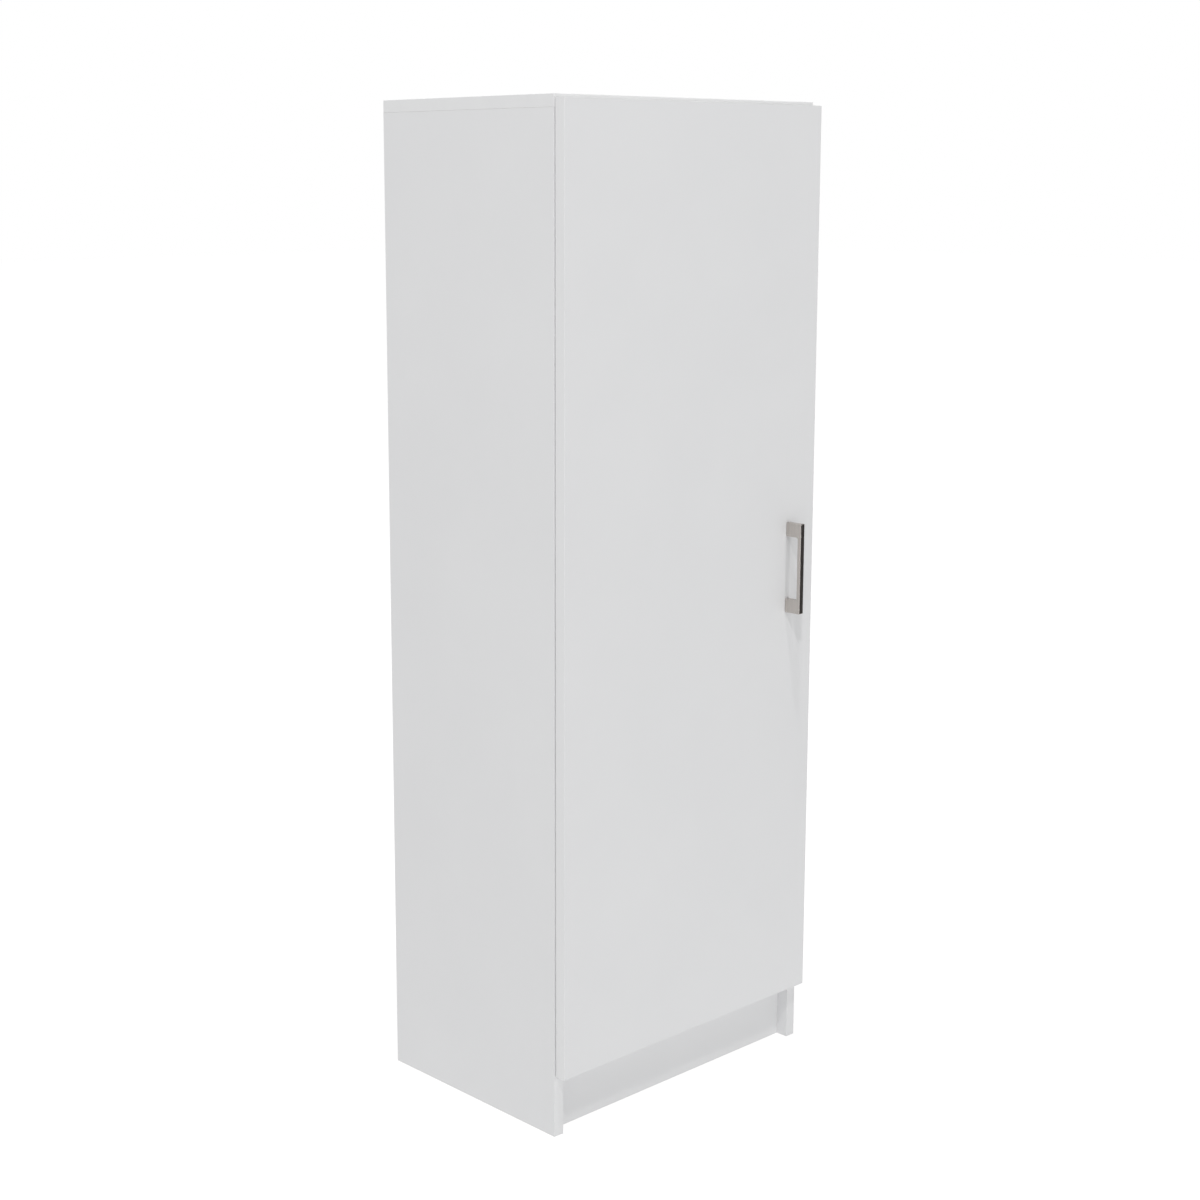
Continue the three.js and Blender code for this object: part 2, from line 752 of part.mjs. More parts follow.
// The handle: a D of deep legs and a flat bar, with a small round on every long edge
function doorHandle() {
  const half = handleLength / 2 - handleEdgeRound;
  const deep = handleProjection - handleEdgeRound;
  const legInner = handleLength / 2 - handleLegHeight + handleEdgeRound;
  const barInner = handleProjection - handleBarDepth + handleEdgeRound;
  const corner = handleOuterRound;
  const fillet = handleInnerFillet;
  const shape = new THREE.Shape();
  shape.moveTo(handleEdgeRound, -half);
  shape.absarc(deep - corner, corner - half, corner, -Math.PI / 2, 0, false);
  shape.absarc(deep - corner, half - corner, corner, 0, Math.PI / 2, false);
  shape.lineTo(handleEdgeRound, half);
  shape.lineTo(handleEdgeRound, legInner);
  shape.absarc(barInner - 2 * handleEdgeRound - fillet, legInner - fillet, fillet, Math.PI / 2, 0, true);
  shape.absarc(barInner - 2 * handleEdgeRound - fillet, fillet - legInner, fillet, 0, -Math.PI / 2, true);
  shape.lineTo(handleEdgeRound, -legInner);
  shape.closePath();
  const body = new THREE.ExtrudeGeometry(shape, {
    depth: handleWidth - 2 * handleEdgeRound,
    bevelEnabled: true,
    bevelThickness: handleEdgeRound,
    bevelSize: handleEdgeRound,
    bevelSegments: handleRoundSteps,
    curveSegments: arcSteps,
  });
  body.translate(0, 0, handleEdgeRound - handleWidth / 2);
  const holes = [-handleScrewOffset, handleScrewOffset].map((y) => {
    const start = [-cutOverrun, y, 0];
    return bar("x", handleScrewRadius + fitGap, handleScrewReach + fitGap + cutOverrun, start);
  });
  const drilled = cut(body, holes);
  drilled.applyMatrix4(
    new THREE.Matrix4().makeBasis(
      new THREE.Vector3(0, -1, 0),
      new THREE.Vector3(0, 0, 1),
      new THREE.Vector3(-1, 0, 0),
    ),
  );
  return drilled;
}

// A handle screw along Z: a pan head below 0 and its shank above
function handleScrew() {
  const reach = doorThickness + seatGap + handleScrewReach;
  const round = handleScrewHeadHeight * handleScrewRoundShare;
  return turned([
    [0, -handleScrewHeadHeight],
    [handleScrewHeadRadius - round, -handleScrewHeadHeight],
    [handleScrewHeadRadius, round - handleScrewHeadHeight],
    [handleScrewHeadRadius, -seatGap],
    [handleScrewRadius, -seatGap],
    [handleScrewRadius, reach],
    [0, reach],
  ]);
}

function bumper() {
  const round = bumperThickness * bumperRoundShare;
  return turned([
    [0, 0],
    [bumperRadius, 0],
    [bumperRadius, bumperThickness - round],
    [bumperRadius - round, bumperThickness],
    [0, bumperThickness],
  ]);
}

// Assembly
function place(mesh, x, y, z) {
  mesh.position.set(x, y, z);
  return mesh;
}

function carcase() {
  const group = new THREE.Group();
  group.add(
    named("left_side_panel", sidePanel(leftFace, leftInner), "melamine"),
    named("right_side_panel", sidePanel(rightFace, rightInner), "melamine"),
    named("top_panel", topPanel(), "melamine"),
    named("bottom_panel", bottomPanel(), "melamine"),
    named("plinth_board", plinthBoard(), "melamine"),
    named("divider_panel", dividerPanel(), "melamine"),
    named(
      "back_panel_lower",
      backSheet(floorTop - grooveDepth + 2 * fitGap, stripMiddle - sheetEdge),
      "hardboard",
    ),
    named(
      "back_panel_upper",
      backSheet(stripMiddle + sheetEdge, sideTop + grooveDepth - 2 * fitGap),
      "hardboard",
    ),
    named("back_joint_strip", backJointStrip(), "plastic"),
  );
  return group;
}

function shelves() {
  const group = new THREE.Group();
  shelfLevels.forEach((level, i) => {
    group.add(named(`shelf_${i + 1}`, shelf(level), "melamine"));
    for (const [row, y] of Object.entries({ front: pinRows[0], back: pinRows[1] })) {
      for (const [side, x, turn] of [
        ["left", dividerRight, 1],
        ["right", rightInner, -1],
      ]) {
        const pin = named(`shelf_${i + 1}_pin_${row}_${side}`, shelfPin(), "steel");
        pin.rotation.y = (turn * Math.PI) / 2;
        group.add(place(pin, x, y, level - pinDrop));
      }
    }
  });
  return group;
}

// One joint: a bolt on Z that stands out of a board's face, and the drum that pulls on its head
function camJoint(name, rotation, position) {
  const group = new THREE.Group();
  group.add(named(`${name}_bolt`, camBolt(), "steel"), named(`${name}_cam`, camDrum(), "zinc"));
  group.rotation.set(...rotation);
  group.position.set(...position);
  return group;
}

function camJoints() {
  const group = new THREE.Group();
  const quarter = Math.PI / 2;
  for (const [row, y] of Object.entries({ front: camPlaces[0], back: camPlaces[1] })) {
    const low = plinthHeight + camAxisDeep;
    group.add(
      camJoint(`top_left_${row}`, [2 * quarter, 0, 0], [leftInner - camAxisDeep, y, sideTop]),
      camJoint(`top_right_${row}`, [0, 2 * quarter, 0], [rightInner + camAxisDeep, y, sideTop]),
      camJoint(`bottom_left_${row}`, [0, quarter, 0], [leftInner, y, low]),
      camJoint(`bottom_right_${row}`, [0, -quarter, 2 * quarter], [rightInner, y, low]),
    );
  }
  return group;
}

function dowels() {
  const group = new THREE.Group();
  const x = dividerLeft + boardThickness / 2;
  for (const [row, y] of Object.entries({ front: dowelPlaces[0], back: dowelPlaces[1] })) {
    const lower = named(`divider_dowel_bottom_${row}`, dowel(), "beech");
    const upper = named(`divider_dowel_top_${row}`, dowel(), "beech");
    group.add(place(lower, x, y, floorTop - dowelInFace));
    group.add(place(upper, x, y, sideTop - dowelInEnd));
  }
  return group;
}

function hinges() {
  const group = new THREE.Group();
  const names = ["bottom", "middle", "top"];
  hingeLevels.forEach((level, i) => {
    const label = hingeCount === names.length ? names[i] : String(i + 1);
    const hinge = new THREE.Group();
    hinge.position.z = level;
    hinge.add(
      named(`hinge_plate_${label}`, mountingPlate(), "steel"),
      named(`hinge_arm_${label}`, hingeArm(), "steel"),
      named(`hinge_outer_link_${label}`, outerLink(), "steel"),
      named(`hinge_inner_link_${label}`, innerLink(), "steel"),
      named(`hinge_cup_${label}`, hingeCup(), "steel"),
    );
    group.add(hinge);
  });
  return group;
}

function door() {
  const group = new THREE.Group();
  group.add(named("door_panel", doorPanel(), "melamine"));
  const handle = named("door_handle", doorHandle(), "nickel");
  group.add(place(handle, handleX, doorFront - seatGap, handleZ));
  for (const [end, offset] of Object.entries({ lower: -handleScrewOffset, upper: handleScrewOffset })) {
    const screw = named(`handle_screw_${end}`, handleScrew(), "steel");
    screw.rotation.x = Math.PI / 2;
    group.add(place(screw, handleX, doorBack, handleZ + offset));
  }
  const bumperX = rightInner + boardThickness / 2;
  for (const [end, z] of Object.entries({
    lower: doorBottom + bumperFromEnd,
    upper: doorTop - bumperFromEnd,
  })) {
    const pad = named(`door_bumper_${end}`, bumper(), "rubber");
    pad.rotation.x = -Math.PI / 2;
    group.add(place(pad, bumperX, doorBack, z));
  }
  return group;
}

const cupboard = new THREE.Group();
cupboard.position.y = carcaseFront;
cupboard.add(carcase(), shelves(), camJoints(), dowels(), hinges(), door());

export default cupboard;
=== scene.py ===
# Broom cupboard in white melamine: boards, hinges, fittings and handle, fitted over its plain solids
import json
import math
import bpy
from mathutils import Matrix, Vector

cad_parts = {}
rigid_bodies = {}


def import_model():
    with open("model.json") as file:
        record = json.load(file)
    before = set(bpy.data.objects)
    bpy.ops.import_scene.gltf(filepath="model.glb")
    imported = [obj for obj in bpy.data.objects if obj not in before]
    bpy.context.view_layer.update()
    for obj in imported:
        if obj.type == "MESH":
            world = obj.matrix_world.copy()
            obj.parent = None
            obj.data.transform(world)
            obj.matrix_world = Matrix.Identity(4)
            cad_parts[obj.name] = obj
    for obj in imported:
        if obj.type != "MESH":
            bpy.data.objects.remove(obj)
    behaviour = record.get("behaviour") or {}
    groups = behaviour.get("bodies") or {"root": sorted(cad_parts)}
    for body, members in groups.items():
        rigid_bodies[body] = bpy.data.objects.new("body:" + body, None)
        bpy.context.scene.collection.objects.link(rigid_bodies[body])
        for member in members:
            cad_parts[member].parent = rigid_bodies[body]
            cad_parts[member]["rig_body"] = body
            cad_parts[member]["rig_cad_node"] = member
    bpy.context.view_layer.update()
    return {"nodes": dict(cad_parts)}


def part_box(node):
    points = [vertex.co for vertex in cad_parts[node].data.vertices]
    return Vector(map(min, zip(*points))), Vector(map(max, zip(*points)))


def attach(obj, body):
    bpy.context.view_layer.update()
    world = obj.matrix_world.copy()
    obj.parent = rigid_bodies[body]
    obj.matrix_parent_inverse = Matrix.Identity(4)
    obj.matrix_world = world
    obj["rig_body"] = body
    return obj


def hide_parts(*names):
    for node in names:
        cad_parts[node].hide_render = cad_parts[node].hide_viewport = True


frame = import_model()
print("frame loaded")

tiny = 0.00001  # places closer than this are one place
past = 0.001  # cutters reach this far past what they cut
sharpAngle = 40  # a turn in the surface past this is rounded
smoothAngle = 32  # and one below this is shaded smooth
cadCopy = {"merge": 0.000001, "flatAngle": 1.5}
turnTo = {"x": (0, math.pi / 2, 0), "-x": (0, -math.pi / 2, 0), "y": (-math.pi / 2, 0, 0), "z": (0, 0, 0),
          "-z": (math.pi, 0, 0)}


# Working with pieces
def deselectAll():
    bpy.ops.object.select_all(action="DESELECT")


def pick(piece):
    deselectAll()
    piece.select_set(True)
    bpy.context.view_layer.objects.active = piece


def settle(piece):
    pick(piece)
    bpy.ops.object.transform_apply(location=True, rotation=True, scale=True)
    return piece


def addBlock(name, low, high):
    deselectAll()
    middle = [(a + b) / 2 for a, b in zip(low, high)]
    bpy.ops.mesh.primitive_cube_add(size=1, location=middle)
    piece = bpy.context.object
    piece.name = name
    piece.scale = [b - a for a, b in zip(low, high)]
    return settle(piece)


# A profile holds radii and heights, and is turned about z before the piece is laid along its axis
def addTurned(name, profile, sides, at=(0, 0, 0), axis="z"):
    deselectAll()
    radius, height = profile[0]
    bpy.ops.mesh.primitive_circle_add(vertices=sides, radius=radius, fill_type="NGON",
                                      location=(0, 0, height))
    piece = bpy.context.object
    piece.name = name
    bpy.ops.object.transform_apply(location=True)
    bpy.ops.object.mode_set(mode="EDIT")
    bpy.ops.mesh.select_mode(type="FACE")
    bpy.ops.mesh.select_all(action="SELECT")
    for nextRadius, nextHeight in profile[1:]:
        rise = {"value": (0, 0, nextHeight - height)}
        bpy.ops.mesh.extrude_region_move(TRANSFORM_OT_translate=rise)
        share = nextRadius / radius
        bpy.ops.transform.resize(value=(share, share, 1), center_override=(0, 0, nextHeight))
        radius, height = nextRadius, nextHeight
    bpy.ops.mesh.select_all(action="SELECT")
    bpy.ops.mesh.normals_make_consistent(inside=False)
    bpy.ops.object.mode_set(mode="OBJECT")
    piece.rotation_euler = turnTo[axis]
    piece.location = at
    return settle(piece)


def bevelWhere(piece, wanted, width, segments):
    pick(piece)
    bpy.ops.object.mode_set(mode="EDIT")
    bpy.ops.mesh.select_mode(type="EDGE")
    bpy.ops.mesh.select_all(action="DESELECT")
    bpy.ops.object.mode_set(mode="OBJECT")
    for edge in piece.data.edges:
        a, b = (piece.data.vertices[i].co for i in edge.vertices)
        edge.select = bool(wanted(a, b))
    bpy.ops.object.mode_set(mode="EDIT")
    bpy.ops.mesh.bevel(offset=width, segments=segments, affect="EDGES", clamp_overlap=True)
    bpy.ops.object.mode_set(mode="OBJECT")


def applyModifier(piece, kind, **settings):
    modifier = piece.modifiers.new(kind.lower(), kind)
    for key, value in settings.items():
        setattr(modifier, key, value)
    pick(piece)
    bpy.ops.object.modifier_apply(modifier=modifier.name)


def bevelSharp(piece, width, segments, angle=sharpAngle):
    applyModifier(piece, "BEVEL", width=width, segments=segments, limit_method="ANGLE",
                  angle_limit=math.radians(angle), use_clamp_overlap=True)


def joinAll(name, parts):
    deselectAll()
    for part in parts:
        part.select_set(True)
    bpy.context.view_layer.objects.active = parts[0]
    if len(parts) > 1:
        bpy.ops.object.join()
    piece = bpy.context.object
    piece.name = name
    return piece


def cutAway(piece, cutters, finish=None):
    cutter = joinAll("cutter", cutters)
    if finish:
        paint(cutter, finish)
    applyModifier(piece, "BOOLEAN", operation="DIFFERENCE", object=cutter, solver="EXACT",
                  material_mode="TRANSFER")
    bpy.data.objects.remove(cutter)


def paint(piece, finish):
    piece.data.materials.clear()
    piece.data.materials.append(finish)
    return piece


def mergeClose(piece, gap):
    pick(piece)
    bpy.ops.object.mode_set(mode="EDIT")
    bpy.ops.mesh.select_all(action="SELECT")
    bpy.ops.mesh.remove_doubles(threshold=gap)
    bpy.ops.object.mode_set(mode="OBJECT")


def duplicate(piece, name):
    pick(piece)
    bpy.ops.object.duplicate()
    other = bpy.context.object
    other.name = name
    return other


def copyCad(node, name):
    piece = duplicate(frame["nodes"][node], name)
    piece.parent = None
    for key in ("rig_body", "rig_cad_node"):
        del piece[key]
    mergeClose(piece, cadCopy["merge"])
    bpy.ops.object.mode_set(mode="EDIT")
    bpy.ops.mesh.dissolve_limited(angle_limit=math.radians(cadCopy["flatAngle"]))
    bpy.ops.object.mode_set(mode="OBJECT")
    return piece


def hand(piece, body, nodes=(), angle=smoothAngle):
    pick(piece)
    bpy.ops.object.shade_smooth_by_angle(angle=math.radians(angle))
    applyModifier(piece, "WEIGHTED_NORMAL", keep_sharp=True, weight=100)
    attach(piece, body)
    if nodes:
        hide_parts(*nodes)
    return piece


# What repeats is modelled once, and each place gives a copy's name, spot, axis and nodes
def handCopies(model, places, body, angle=smoothAngle):
    for name, at, axis, nodes in places:
        piece = duplicate(model, name)
        piece.rotation_euler = turnTo[axis]
        piece.location = at
        hand(settle(piece), body, nodes, angle)
    bpy.data.objects.remove(model)


def middleOf(node):
    low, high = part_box(node)
    return (low + high) / 2


# The spot on a board's face that lies over the middle of a fitting
def faceSpot(node, face, axis, sunk=0.0):
    at = middleOf(node)
    inwards = 1 if axis.startswith("-") else -1
    at["xyz".index(axis[-1])] = face + inwards * sunk
    return at


# Finishes
noiseSpan = (0.3, 0.7)  # most values of a noise lie between these
noiseDetail = {"tone": 4, "grain": 2, "smear": 3}
noiseRoughness = 0.55
smearRatio = 3  # smears are this much finer than the tone, unless a look says otherwise
white = (1, 1, 1, 1)


def startMaterial(name, look):
    material = bpy.data.materials.new(name)
    material.use_nodes = True
    nodes = material.node_tree.nodes
    shader = nodes["Principled BSDF"]
    for socket, value in look.get("shader", {}).items():
        shader.inputs[socket].default_value = value
    where = nodes.new("ShaderNodeTexCoord")
    mapping = nodes.new("ShaderNodeMapping")
    mapping.inputs["Scale"].default_value = look.get("stretch", (1, 1, 1))
    material.node_tree.links.new(where.outputs["Object"], mapping.inputs["Vector"])
    return material, nodes, material.node_tree.links, shader, mapping


def addNoise(nodes, links, mapping, scale, detail):
    noise = nodes.new("ShaderNodeTexNoise")
    noise.inputs["Scale"].default_value = scale
    noise.inputs["Detail"].default_value = detail
    noise.inputs["Roughness"].default_value = noiseRoughness
    links.new(mapping.outputs["Vector"], noise.inputs["Vector"])
    return noise.outputs["Fac"]


def addRamp(nodes, links, source, places, colours):
    ramp = nodes.new("ShaderNodeValToRGB")
    elements = ramp.color_ramp.elements
    while len(elements) < len(places):
        elements.new(0.5)
    for element, place, colour in zip(elements, places, colours):
        element.position = place
        element.color = (*colour, 1)
    links.new(source, ramp.inputs["Fac"])
    return ramp.outputs["Color"]


def addRange(nodes, links, source, low, high):
    spread = nodes.new("ShaderNodeMapRange")
    for socket, value in zip(("From Min", "From Max", "To Min", "To Max"), (*noiseSpan, low, high)):
        spread.inputs[socket].default_value = value
    links.new(source, spread.inputs["Value"])
    return spread.outputs["Result"]


def addBump(nodes, links, shader, height, look):
    bump = nodes.new("ShaderNodeBump")
    bump.inputs["Strength"].default_value = look["bump"]
    bump.inputs["Distance"].default_value = look["bumpDepth"]
    links.new(height, bump.inputs["Height"])
    links.new(bump.outputs["Normal"], shader.inputs["Normal"])


def surfaceMaterial(name, look):
    material, nodes, links, shader, mapping = startMaterial(name, look)
    tone = addNoise(nodes, links, mapping, look["toneScale"], noiseDetail["tone"])
    colour = addRamp(nodes, links, tone, noiseSpan, (look["dark"], look["light"]))
    links.new(colour, shader.inputs["Base Color"])
    grain = addNoise(nodes, links, mapping, look["grainScale"], look.get("grainDetail", noiseDetail["grain"]))
    smearScale = look.get("smearScale", look["toneScale"] * smearRatio)
    smear = addNoise(nodes, links, mapping, smearScale, noiseDetail["smear"])
    links.new(addRange(nodes, links, smear, *look["roughness"]), shader.inputs["Roughness"])
    addBump(nodes, links, shader, grain, look)
    return material


melamineLook = {
    "dark": (0.835, 0.838, 0.846), "light": (0.85, 0.853, 0.86), "toneScale": 5, "smearScale": 9,
    "grainScale": 1400, "grainDetail": 3, "bump": 0.12, "bumpDepth": 0.00004, "roughness": (0.46, 0.54),
    "shader": {"IOR": 1.45},
}
bandLook = {
    "dark": (0.845, 0.848, 0.855), "light": (0.862, 0.865, 0.87), "toneScale": 30, "smearScale": 60,
    "grainScale": 900, "bump": 0.1, "bumpDepth": 0.00003, "roughness": (0.3, 0.4), "stretch": (1, 1, 0.15),
}
# The top board's front band is the same plastic as the other bands, painted brighter: a painted highlight for
# the light that falls on that strip above the door
paintedHighlightBandLook = dict(bandLook, dark=(0.95, 0.95, 0.952), light=(0.965, 0.966, 0.968))
lacquerLook = {
    "dark": (0.8, 0.8, 0.79), "light": (0.83, 0.83, 0.82), "toneScale": 8, "grainScale": 700,
    "bump": 0.2, "bumpDepth": 0.00005, "roughness": (0.42, 0.55),
}
hardboardLook = {
    "dark": (0.195, 0.115, 0.062), "light": (0.24, 0.146, 0.08), "toneScale": 60, "grainScale": 900,
    "grainDetail": 5, "bump": 0.35, "bumpDepth": 0.0002, "roughness": (0.6, 0.78), "stretch": (0.5, 1, 1),
}
stripLook = {
    "dark": (0.79, 0.79, 0.78), "light": (0.82, 0.82, 0.81), "toneScale": 20, "grainScale": 500,
    "bump": 0.1, "bumpDepth": 0.00005, "roughness": (0.35, 0.48),
}
nickelLook = {
    "dark": (0.54, 0.508, 0.481), "light": (0.62, 0.585, 0.553), "toneScale": 260, "smearScale": 900,
    "grainScale": 2600, "grainDetail": 4, "bump": 0.25, "bumpDepth": 0.00005, "roughness": (0.26, 0.38),
    "stretch": (1, 1, 0.035), "shader": {"Metallic": 1.0, "Anisotropic": 0.35},
}
steelLook = {
    "dark": (0.6, 0.61, 0.63), "light": (0.69, 0.7, 0.72), "toneScale": 180, "grainScale": 1500,
    "bump": 0.12, "bumpDepth": 0.00004, "roughness": (0.2, 0.32), "shader": {"Metallic": 1.0},
}
hingeLook = {
    "dark": (0.68, 0.67, 0.65), "light": (0.71, 0.7, 0.68), "toneScale": 120, "grainScale": 1100,
    "bump": 0.03, "bumpDepth": 0.00002, "roughness": (0.26, 0.3), "shader": {"Metallic": 1.0},
}
zincLook = {
    "dark": (0.27, 0.28, 0.29), "light": (0.4, 0.41, 0.42), "toneScale": 400, "grainScale": 2200,
    "bump": 0.3, "bumpDepth": 0.00008, "roughness": (0.4, 0.58), "shader": {"Metallic": 1.0},
}
beechLook = {
    "dark": (0.48, 0.3, 0.16), "light": (0.66, 0.45, 0.26), "toneScale": 300, "grainScale": 1500,
    "bump": 0.3, "bumpDepth": 0.0001, "roughness": (0.55, 0.7), "stretch": (1, 1, 0.1),
}
rubberLook = {
    "dark": (0.72, 0.73, 0.74), "light": (0.8, 0.81, 0.82), "toneScale": 300, "grainScale": 900,
    "bump": 0.1, "bumpDepth": 0.00005, "roughness": (0.15, 0.28),
    "shader": {"Transmission Weight": 0.55, "IOR": 1.42},
}
chipboardLook = {
    "chipScale": 420, "fineScale": 1600, "fineDetail": 4, "stretch": (0.6, 0.6, 1),
    "colours": ((0.17, 0.1, 0.05), (0.4, 0.26, 0.13), (0.56, 0.4, 0.22)), "places": (0.0, 0.18, 0.75),
    "bump": 0.6, "bumpDepth": 0.0004, "shader": {"Roughness": 0.85},
}


def chipboardMaterial(name, look):
    material, nodes, links, shader, mapping = startMaterial(name, look)
    chips = nodes.new("ShaderNodeTexVoronoi")
    chips.inputs["Scale"].default_value = look["chipScale"]
    links.new(mapping.outputs["Vector"], chips.inputs["Vector"])
    split = nodes.new("ShaderNodeSeparateColor")
    links.new(chips.outputs["Color"], split.inputs["Color"])
    colour = addRamp(nodes, links, split.outputs[0], look["places"], look["colours"])
    links.new(colour, shader.inputs["Base Color"])
    fine = addNoise(nodes, links, mapping, look["fineScale"], look["fineDetail"])
    height = nodes.new("ShaderNodeMath")
    height.operation = "ADD"
    links.new(chips.outputs["Distance"], height.inputs[0])
    links.new(fine, height.inputs[1])
    addBump(nodes, links, shader, height.outputs[0], look)
    return material


melamine = surfaceMaterial("melamine", melamineLook)
edgeBand = surfaceMaterial("edgeBand", bandLook)
# the band material painted brighter, a painted highlight for the top board's front edge
paintedHighlightBand = surfaceMaterial("topEdgeBandPaintedHighlight", paintedHighlightBandLook)
lacquer = surfaceMaterial("whiteLacquer", lacquerLook)
hardboard = surfaceMaterial("hardboard", hardboardLook)
stripPlastic = surfaceMaterial("stripPlastic", stripLook)
nickel = surfaceMaterial("brushedNickel", nickelLook)
steel = surfaceMaterial("brightSteel", steelLook)
hingeSteel = surfaceMaterial("hingeSteel", hingeLook)
zinc = surfaceMaterial("castZinc", zincLook)
beech = surfaceMaterial("beech", beechLook)
rubber = surfaceMaterial("clearRubber", rubberLook)
chipboard = chipboardMaterial("chipboard", chipboardLook)
print("finishes made")


# Boards: a chipboard core faced with melamine, and a plastic band on each edge that shows
band = {"thickness": 0.001, "round": 0.00045, "segments": 3, "seam": 0.00015, "facing": 0.5}
bores = {"pinRadius": 0.0026, "pinDepth": 0.0092, "pinPitch": 0.032, "pinHoles": 5, "pinSides": 20,
         "camRadius": 0.0078, "camDepth": 0.0128, "camSides": 40, "chamfer": 0.0003}
groove = {"depth": 0.006, "play": 0.0003}
leftLow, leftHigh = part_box("left_side_panel")
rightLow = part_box("right_side_panel")[0]
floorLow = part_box("bottom_panel")[0]
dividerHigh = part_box("divider_panel")[1]
doorLow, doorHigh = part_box("door_panel")
rows = ("front", "back")


def faceBoard(core, thin):
    core.data.materials.clear()
    core.data.materials.append(melamine)
    core.data.materials.append(chipboard)
    for face in core.data.polygons:
        face.material_index = 0 if abs(face.normal[thin]) > band["facing"] else 1


def bandStrip(name, low, high, axis, outer):
    strip = addBlock(name, low, high)
    bevelWhere(strip, lambda a, b: abs(a[axis] - outer) < tiny and abs(b[axis] - outer) < tiny,
               band["round"], band["segments"])
    return strip


# A board is given with its thin axis, its banded edges, such as "y-", and what is cut out of it
def makeBoard(name, node, body, thin, banded, cuts=(), finishes=None):
    low, high = (list(corner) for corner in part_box(node))
    strips = []
    for edge in banded:
        axis = "xyz".index(edge[0])
        stripLow, stripHigh = list(low), list(high)
        if edge[1] == "-":
            outer = low[axis]
            low[axis] = stripHigh[axis] = outer + band["thickness"]
        else:
            outer = high[axis]
            high[axis] = stripLow[axis] = outer - band["thickness"]
        strip = bandStrip(name + "Band", stripLow, stripHigh, axis, outer)
        strips.append(paint(strip, (finishes or {}).get(edge, edgeBand)))
    core = addBlock(name, low, high)
    bevelWhere(core, lambda a, b: True, band["seam"], 1)
    faceBoard(core, thin)
    for cutters in cuts:
        cutAway(core, cutters, chipboard)
    return hand(joinAll(name, [core, *strips]), body, [node])


def drill(at, axis, radius, depth, sides):
    lip = bores["chamfer"]
    profile = [(radius, -depth), (radius, -lip), (radius + lip, 0), (radius + lip, lip)]
    return addTurned("drill", profile, sides, at, axis)


def pinDrills(faceX, axis):
    drills = []
    for number in (1, 2):
        for row in rows:
            middle = middleOf(f"shelf_{number}_pin_{row}_left")
            for i in range(bores["pinHoles"]):
                z = middle.z + (i - (bores["pinHoles"] - 1) / 2) * bores["pinPitch"]
                at = (faceX, middle.y, z)
                drills.append(drill(at, axis, bores["pinRadius"], bores["pinDepth"], bores["pinSides"]))
    return drills


def camDrills(corner, face, axis):
    at = [faceSpot(f"{corner}_{row}_cam", face, axis) for row in rows]
    return [drill(spot, axis, bores["camRadius"], bores["camDepth"], bores["camSides"]) for spot in at]


def backGroove(faceX, inward):
    sheetLow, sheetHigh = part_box("back_panel_lower")
    ends = sorted((faceX + inward * groove["depth"], faceX - inward * past))
    return addBlock("groove", (ends[0], sheetLow.y - groove["play"], leftLow.z - past),
                    (ends[1], sheetHigh.y + groove["play"], leftHigh.z + past))


makeBoard("leftSide", "left_side_panel", "carcase", 0, ["y-"],
          [[*camDrills("top_left", leftHigh.x, "x"), backGroove(leftHigh.x, -1)]])
makeBoard("rightSide", "right_side_panel", "carcase", 0, ["y-"],
          [[*camDrills("top_right", rightLow.x, "-x"), backGroove(rightLow.x, 1),
            *pinDrills(rightLow.x, "-x")]])
# the top board's front edge takes the band with the painted highlight
makeBoard("topBoard", "top_panel", "carcase", 2, ["x-", "x+", "y-"], finishes={"y-": paintedHighlightBand})
makeBoard("bottomBoard", "bottom_panel", "carcase", 2, ["y-"],
          [[*camDrills("bottom_left", floorLow.z, "-z"), *camDrills("bottom_right", floorLow.z, "-z")]])
makeBoard("plinth", "plinth_board", "carcase", 1, [])
makeBoard("divider", "divider_panel", "carcase", 0, ["y-"], [pinDrills(dividerHigh.x, "x")])
for number in (1, 2):
    makeBoard(f"shelf{number}", f"shelf_{number}", "carcase", 2, ["y-"])
print("boards made")


# Door
cupFit = {"radius": 0.0178, "depth": 0.0138, "sides": 64, "recess": 0.00115, "ringRadius": 0.0188,
          "earWidth": 0.0146, "earHeight": 0.0546, "earRound": 0.0053}
cupShape = {
    "radius": 0.0175, "wall": 0.0008, "depth": 0.0135, "ring": 0.0185, "flange": 0.001, "sides": 64,
    "round": 0.0012, "bendShare": 0.3, "ringEdge": 0.0001, "ringShare": 0.7, "lip": 0.0002, "lipSteps": 2,
    "mouth": 0.0003,
    "earWidth": 0.014, "earHeight": 0.054, "earRound": 0.005, "earOffset": 0.009, "earUnderRing": 0.0004,
    "screwOffset": 0.0095, "screwSpacing": 0.045, "screwSunk": 0.0002, "screwRadius": 0.0036,
    "screwHeight": 0.0011,
}
earSteps = 5
levels = ("bottom", "middle", "top")


def hingePlace(level):
    low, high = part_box(f"hinge_cup_{level}")
    return (low.x + cupShape["ring"], high.y, (low.z + high.z) / 2)


def earBlock(name, shape, at, deep, rise=0.0):
    x, y, z = at
    x += cupShape["earOffset"]
    halfWide, halfHigh = shape["earWidth"] / 2, shape["earHeight"] / 2
    block = addBlock(name, (x - halfWide, y - deep, z - halfHigh), (x + halfWide, y + rise, z + halfHigh))
    bevelWhere(block, lambda a, b: abs(a.x - b.x) < tiny and abs(a.z - b.z) < tiny,
               shape["earRound"], earSteps)
    return block


def hingeBores():
    fit = cupFit
    profile = [(fit["radius"], -fit["depth"]), (fit["radius"], -fit["recess"]),
               (fit["ringRadius"], -fit["recess"]), (fit["ringRadius"], past)]
    rings, ears = [], []
    for level in levels:
        at = hingePlace(level)
        rings.append(addTurned("bore", profile, fit["sides"], at, "y"))
        ears.append(earBlock("ears", fit, at, fit["recess"], past))
    return [rings, ears]


